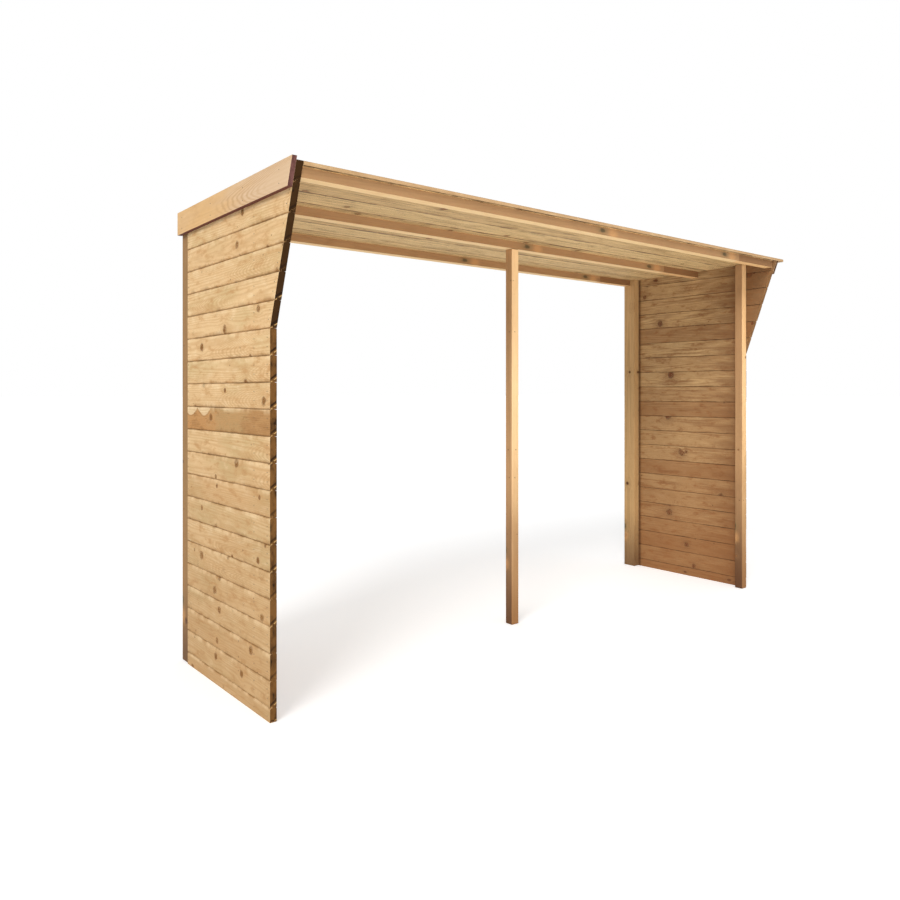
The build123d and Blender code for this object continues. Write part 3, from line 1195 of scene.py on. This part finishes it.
@dataclass
class SawnPiece:
    """A bar or board that takes its shape from a CAD node, with eased edges and its grain marked.

    Its number decides the part of the wood that it shows. Its three finishes are for the faces
    across it, the faces into it and its ends.
    """

    node: str
    name: str
    grain: Grain
    number: float
    slot: str
    finishes: tuple[str, str, str]
    eased: float = 0.0015
    length: float = 0.06
    bow: float = 0.0
    tone: float = 0.0
    brown_from: float = math.inf
    brown_tone: float = 0.75
    brown_border: float = 0.001
    slant: float = 0.0
    waves: Span = (1.8, 31.0)

    FLAT = math.radians(0.5)
    SHARP = math.radians(20)

    def build(self, materials: dict[str, bpy.types.Material]) -> None:
        """Copy the node, ease and cut it, and hang it on the frame.

        Args:
            materials: All materials by name.
        """
        made = bmesh.new()
        made.from_mesh(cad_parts[self.node].data)
        bmesh.ops.remove_doubles(made, verts=made.verts, dist=MERGE)
        bmesh.ops.dissolve_limit(made, angle_limit=self.FLAT, verts=made.verts, edges=made.edges)
        sharp = [edge for edge in made.edges
                 if edge.is_manifold and edge.is_convex and edge.calc_face_angle() > self.SHARP]
        bmesh.ops.bevel(made, geom=sharp, offset=self.eased, segments=3, profile=0.5, affect="EDGES",
                        clamp_overlap=True)
        self._cut(made)
        mesh = keep_mesh(self.name, made)
        self._mark(mesh)
        for finish in self.finishes:
            mesh.materials.append(materials[finish])
        for face in mesh.polygons:
            lean = [abs(face.normal[axis]) for axis in self.grain.faces]
            face.material_index = lean.index(max(lean))
        hang(link(self.name, mesh), self.slot, self.node)

    def _cut(self, made: bmesh.types.BMesh) -> None:
        """Cut the piece into short lengths, so that it can bow and change tone.

        Args:
            made: The piece.
        """
        axis = self.grain.value[0]
        low, high = (corner[axis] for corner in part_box(self.node))
        direction = Vector((float(part == axis) for part in range(3)))
        count = max(2, round((high - low) / self.length))
        places = [low + (high - low) * step / count for step in range(1, count)]
        if self.brown_from < high:
            places += [self.brown_from - self.brown_border, self.brown_from + self.brown_border]
        for place in places:
            geometry = made.verts[:] + made.edges[:] + made.faces[:]
            bmesh.ops.bisect_plane(made, geom=geometry, dist=0.000001, plane_co=direction * place,
                                   plane_no=direction)

    def _mark(self, mesh: bpy.types.Mesh) -> None:
        """Write grain, board and tone, and bow the piece.

        Args:
            mesh: The piece's mesh.
        """
        along, across, into = self.grain.value
        low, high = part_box(self.node)
        centre = (low + high) / 2
        grain, tones = [], []
        for vertex in mesh.vertices:
            place = vertex.co
            depth = place[into] - centre[into]
            grain += [place[along], place[across] - centre[across] + self.slant * depth, depth]
            tones.append(self.brown_tone if place[along] > self.brown_from else self.tone)
            wave = Vector((place[along] * self.waves[0], self.number * self.waves[1], 0.0))
            vertex.co[into] += noise.noise(wave) * self.bow
        mark_points(mesh, "grain", "FLOAT_VECTOR", grain)
        mark_points(mesh, "board", "FLOAT", [self.number] * len(tones))
        mark_points(mesh, "tone", "FLOAT", tones)


@dataclass
class Timbers:
    """The posts, the purlins, the roof boards and the barge boards."""

    post_eased: float = 0.004
    board_eased: float = 0.0004
    board_bow: float = 0.0003
    barge_eased: float = 0.001
    brown_from: float = 0.97

    def build(self, materials: dict[str, bpy.types.Material]) -> None:
        """Make every piece from its finishes' materials."""
        for piece in (*self.posts(), *self.purlins(), *self.roof_boards(), *self.barge_boards()):
            piece.build(materials)

    def posts(self) -> Iterator[SawnPiece]:
        """Three front posts with their edges well eased, and two rear posts.

        Returns:
            The posts, one by one.
        """
        # Painted light and shade: the middle and right rear posts are set lighter to lift their shade, and
        # the left rear post darker to damp its light.
        tones = {"left_front_post": 0.0, "right_front_post": 0.15, "middle_post": -0.35,
                 "left_rear_post": 0.5, "right_rear_post": -0.6}
        for place, (node, tone) in enumerate(tones.items()):
            rear = "rear" in node
            # The front posts' sides and fronts take a shaded and a lit copy of the wood: painted shade and
            # painted light.
            finishes = ("post_rear", "post_rear") if rear else ("post_side", "post_front")
            yield SawnPiece(node, node.replace("post", "square_post"), Grain.ALONG_Z, 0.11 + 0.13 * place,
                            "posts", (*finishes, "timber_ends"), tone=tone, slant=1.0,
                            eased=SawnPiece.eased if rear else self.post_eased)

    def purlins(self) -> Iterator[SawnPiece]:
        """Three purlins, browner towards their right ends.

        Returns:
            The purlins, one by one.
        """
        for place, word in enumerate(PURLINS):
            # Undersides and faces take a lit and a shaded copy of the wood: painted light and painted shade.
            yield SawnPiece(f"{word}_purlin", f"{word}_purlin_bar", Grain.ALONG_X_ON_EDGE,
                            0.21 + 0.17 * place, "purlins", ("purlin_under", "purlin_face", "timber_ends"),
                            brown_from=self.brown_from)

    def roof_boards(self) -> Iterator[SawnPiece]:
        """The tongue-and-groove boards of the roof.

        Returns:
            The boards, from front to rear.
        """
        for number in range(1, ROOF_BOARDS + 1):
            yield SawnPiece(f"roof_board_{number}", f"roof_plank_{number}", Grain.ALONG_X, 0.083 * number,
                            "roof_boards", ("roof_edge", "roof_face", "roof_ends"), eased=self.board_eased,
                            bow=self.board_bow, tone=0.12 * (number % 3))

    def barge_boards(self) -> Iterator[SawnPiece]:
        """The boards that trim the ends of the roof.

        Returns:
            The left one and the right one.
        """
        for place, side in enumerate(Side):
            yield SawnPiece(f"{side.word}_barge_board", f"{side.word}_barge_trim", Grain.ALONG_Y,
                            0.37 + 0.2 * place, "barge_boards",
                            ("barge_edge", "barge_face", f"{side.word}_barge_ends"),
                            eased=self.barge_eased, bow=self.board_bow)


# ---------------------------------------------------------------- nails


class NailTree(GeometrySheet):
    """The Geometry Nodes tree that sets a low nail head on each point, facing its direction."""

    SIZES = {"Float": ("Head Radius", "Head Height", "Proud"), "Material": ("Steel",)}
    CORNERS = 12
    CROWN = (0.3, 0.78, 1.15)
    RIM = (0.82, 1.0, 1.0)

    def __init__(self) -> None:
        """Build the tree, with a head of two cones that have a radius and a height of their own."""
        super().__init__("set_nails", "Places", self.SIZES, "Nails")
        radius, height = self.given["Head Radius"], self.given["Head Height"]
        head = self.add("GeometryNodeJoinGeometry")
        for top, bottom, depth in (self.CROWN, self.RIM):
            cone = self.term("GeometryNodeMeshCone", {
                "Vertices": self.CORNERS, "Radius Top": radius * top, "Radius Bottom": radius * bottom,
                "Depth": height * depth}, fill_type="NGON")
            self.tree.links.new(cone.socket, head.inputs[0])
        drop = self.combine(0.0, 0.0, self.given["Proud"] - height * self.CROWN[2])
        seated = self.term("GeometryNodeTransform", {
            "Geometry": Term(self, head.outputs[0]), "Translation": drop})
        facing = {"Vector": self.read("direction", "FLOAT_VECTOR")}
        turn = self.term("FunctionNodeAlignRotationToVector", facing, axis="Z")
        nails = self.repeat(self.given["Places"], seated, Rotation=turn)
        self.add("NodeGroupOutput", {"Nails": self.dress(nails, "Steel")})


@dataclass
class Nails:
    """Pairs of nails in every board, wherever it crosses a post, a wall or a purlin."""

    tree: bpy.types.NodeTree
    steel: bpy.types.Material
    walls: dict[Side, WallCladding]
    head_radius: float = 0.0022
    head_height: float = 0.0006
    proud: float = 0.00025
    wall_spread: float = 0.014
    wall_heights: Span = (0.012, 0.03)
    edge_line: float = 0.020
    rear_line: float = 0.006
    roof_inset: float = 0.034
    purlin_lines: int = 5
    purlin_spread: float = 0.012
    barge_shares: tuple[float, ...] = (0.06, 0.35, 0.65, 0.96)
    barge_insets: Span = (0.03, 0.01)
    barge_line: float = 0.044
    barge_spread: float = 0.02

    def build(self) -> None:
        """Set the nails of the walls, the roof and the barge boards."""
        for side, wall in self.walls.items():
            self._set(f"{side.word}_wall_nails", self._wall_spots(wall))
        self._set("roof_nails", self._roof_spots())
        for side in Side:
            self._set(f"{side.word}_barge_nails", self._barge_spots(side))

    def _set(self, name: str, spots: Spots) -> None:
        """Make one piece of nails.

        Args:
            name: Name of the piece.
            spots: The place and direction of each nail.
        """
        places, facings = zip(*spots)
        mesh = bpy.data.meshes.new(name)
        mesh.from_pydata(places, [], [])
        mark_points(mesh, "direction", "FLOAT_VECTOR", [part for facing in facings for part in facing])
        hang(run_tree(name, mesh, self.tree, vars(self)), None)

    def _wall_spots(self, wall: WallCladding) -> Spots:
        """Two nails a board at the front edge, the front post and the rear post.

        Args:
            wall: The wall.

        Returns:
            The place and direction of each nail.
        """
        face = wall.inner + wall.side.value * wall.section.thickness
        post_low, post_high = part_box(f"{wall.side.word}_front_post")
        low, high = self.wall_heights[0], wall.top_height - self.wall_heights[1]
        for course in range(LOWER_COURSES + wall.leaning_courses):
            middle = wall.start_height + WALL_COVER * (course + 0.5)
            for height in (middle - self.wall_spread, middle + self.wall_spread):
                edge = wall.front - wall.lean * max(0.0, height - KINK_HEIGHT) + self.edge_line
                for depth in (edge, (post_low.y + post_high.y) / 2, wall.rear - self.rear_line):
                    if low < height < high:
                        yield Vector((face, depth, height)), wall.side.outwards

    def _roof_spots(self) -> Spots:
        """Two nails a board along the right wall, and pairs along each purlin.

        Returns:
            The place and direction of each nail.
        """
        slope = roof_slope()
        front_low, front_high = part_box("roof_board_1")
        right = self.walls[Side.RIGHT]
        line = right.inner + right.section.thickness / 2
        spots = []
        for number in range(1, ROOF_BOARDS + 1):
            low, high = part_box(f"roof_board_{number}")
            spots += [(line, depth, slope) for depth in (low.y + self.roof_inset, high.y - self.roof_inset)]
        for word in PURLINS:
            low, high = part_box(f"{word}_purlin")
            for step in range(1, self.purlin_lines + 1):
                middle = low.x + (high.x - low.x) * step / (self.purlin_lines + 1)
                spots += [(middle + shift, (low.y + high.y) / 2, 0.0)
                          for shift in (-self.purlin_spread, self.purlin_spread)]
        for along, depth, lean in spots:
            height = front_high.z - slope * (depth - front_low.y)
            yield Vector((along, depth, height)), Vector((0.0, lean, 1.0)).normalized()

    def _barge_spots(self, side: Side) -> Spots:
        """Pairs of nails along a barge board.

        Args:
            side: The end of the store.

        Returns:
            The place and direction of each nail.
        """
        low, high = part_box(f"{side.word}_barge_board")
        face = low.x if side is Side.LEFT else high.x
        first, last = low.y + self.barge_insets[0], high.y - self.barge_insets[1]
        for share in self.barge_shares:
            depth = first + (last - first) * share
            middle = high.z - self.barge_line - roof_slope() * (depth - low.y)
            for shift in (-self.barge_spread, self.barge_spread):
                yield Vector((face, depth, middle + shift)), side.outwards


# ---------------------------------------------------------------- studio


@dataclass
class Studio:
    """A white floor, a soft key light from the front left, a low fill and the camera."""

    floor_size: float = 300.0
    ambient: float = 0.55
    key_strength: float = 1.7
    key_from: Triple = (-3.75, -2.25, 2.75)
    key_softness: float = 25.0
    fill_power: float = 84.0
    fill_size: Span = (5.0, 1.6)
    fill_from: Triple = (-0.4, -3.0, 0.25)
    fill_to: Triple = (0.0, 0.2, 1.7)
    camera_place: Triple = (-2.392, -2.427, 0.986)
    camera_turn: float = 38.83
    lens: float = 31.48
    sensor: float = 36.0
    shift: Span = (0.0044, -0.0646)

    def build(self) -> None:
        """Set up the floor, the light and the camera."""
        self._floor()
        self._world()
        self._lamps()
        self._camera()
        bpy.context.scene.view_settings.view_transform = "Standard"

    def _floor(self) -> None:
        """The floor that the store stands on."""
        made = bmesh.new()
        bmesh.ops.create_grid(made, x_segments=1, y_segments=1, size=self.floor_size / 2)
        mesh = keep_mesh("floor", made)
        mesh.materials.append(FloorFinish().material())
        link("floor", mesh)

    def _world(self) -> None:
        """Even white light, and a white backdrop for the camera."""
        world = bpy.data.worlds.new("studio")
        world.use_nodes = True
        bpy.context.scene.world = world
        sheet = NodeSheet(world.node_tree)
        strength = sheet.seen() * (1.0 - self.ambient) + self.ambient
        sheet.fill(world.node_tree.nodes["Background"], {"Color": WHITE, "Strength": strength})

    def _lamps(self) -> None:
        """The key light and the low fill."""
        key = bpy.data.lights.new("key", "SUN")
        key.energy = self.key_strength
        key.angle = math.radians(self.key_softness)
        self._aim(key, self.key_from, (0.0, 0.0, 0.0))
        fill = bpy.data.lights.new("fill", "AREA")
        fill.shape = "RECTANGLE"
        fill.size, fill.size_y = self.fill_size
        fill.energy = self.fill_power
        self._aim(fill, self.fill_from, self.fill_to)

    @staticmethod
    def _aim(light: bpy.types.Light, place: Triple, target: Triple) -> None:
        """Put a lamp in the scene, turned towards a point.

        Args:
            light: The lamp.
            place: Where it stands.
            target: The point.
        """
        turn = (Vector(target) - Vector(place)).to_track_quat("-Z", "Y").to_matrix().to_4x4()
        link(light.name, light).matrix_world = Matrix.Translation(place) @ turn

    def _camera(self) -> None:
        """The camera, level and turned to the right."""
        data = bpy.data.cameras.new("camera")
        data.sensor_width = self.sensor
        data.lens = self.lens
        data.shift_x, data.shift_y = self.shift
        camera = link("camera", data)
        camera.location = self.camera_place
        camera.rotation_euler = (math.pi / 2, 0.0, -math.radians(self.camera_turn))
        bpy.context.scene.camera = camera


def main() -> None:
    """Build the store piece by piece, then the studio round it."""
    logging.basicConfig(level=logging.INFO, format="%(name)s %(message)s")
    softwood = Softwood().build()
    materials = {finish.name: finish.material(softwood) for finish in FINISHES}
    courses = CourseTree().tree
    right = {"brown_course": -1, "palest_tone": -0.6, "brownest_tone": 0.65, "seed": 11}
    walls = {
        Side.LEFT: WallCladding(Side.LEFT, courses, materials),
        Side.RIGHT: WallCladding(Side.RIGHT, courses, materials, **right),
    }
    for wall in walls.values():
        wall.build()
    Timbers().build(materials)
    Nails(NailTree().tree, SteelFinish().material(), walls).build()
    Studio().build()


if __name__ == "__main__":
    main()
